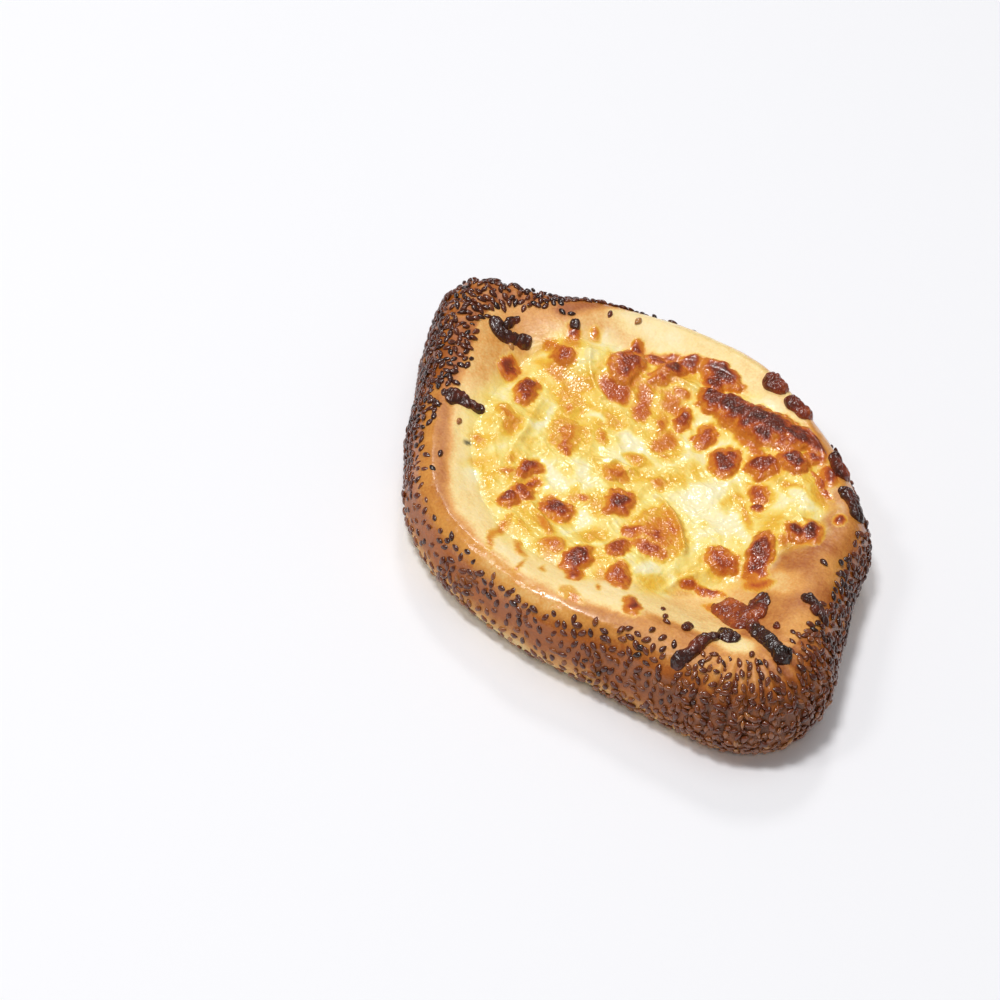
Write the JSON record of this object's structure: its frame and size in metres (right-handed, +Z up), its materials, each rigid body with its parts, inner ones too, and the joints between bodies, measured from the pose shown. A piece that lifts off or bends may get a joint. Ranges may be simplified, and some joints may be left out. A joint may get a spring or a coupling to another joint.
{
  "type": "cheese-topped simit",
  "caption": "Open, boat-shaped sesame bread with folded ends, filled with melted, browned cheese.",
  "frame": {"origin": "middle of the flat underside, in the middle of the whole part's box", "axes": "+X along the bread to its folded front knob, +Y across it, +Z up out of the cheese"},
  "size_m": [0.1794, 0.1252, 0.0303],
  "materials": {
    "crust": "baked bread crust, golden brown with a satin egg glaze on the crest, paler towards the filling and underneath",
    "sesame": "roasted sesame seed, dark brown, slightly glossy",
    "melted_cheese": "melted and set cheese, cream to golden yellow with brown blisters, oily gloss",
    "burnt_cheese": "burnt cheese, dark red-brown, glossy and bubbled"
  },
  "bodies": {
    "root": {"bread": "crust", "cheese": "melted_cheese", "shred_back_hook": "burnt_cheese", "shred_left_oval": "burnt_cheese", "shred_far_edge": "burnt_cheese", "shred_far_corner": "burnt_cheese", "shred_right_lump": "burnt_cheese", "shred_right_strip": "burnt_cheese", "shred_front_right": "burnt_cheese", "shred_front_star": "burnt_cheese", "shred_front_strip": "burnt_cheese", "shred_crumb_near": "burnt_cheese", "shred_crumb_back": "burnt_cheese", "shred_crumb_front": "burnt_cheese"}
  },
  "joints": []
}
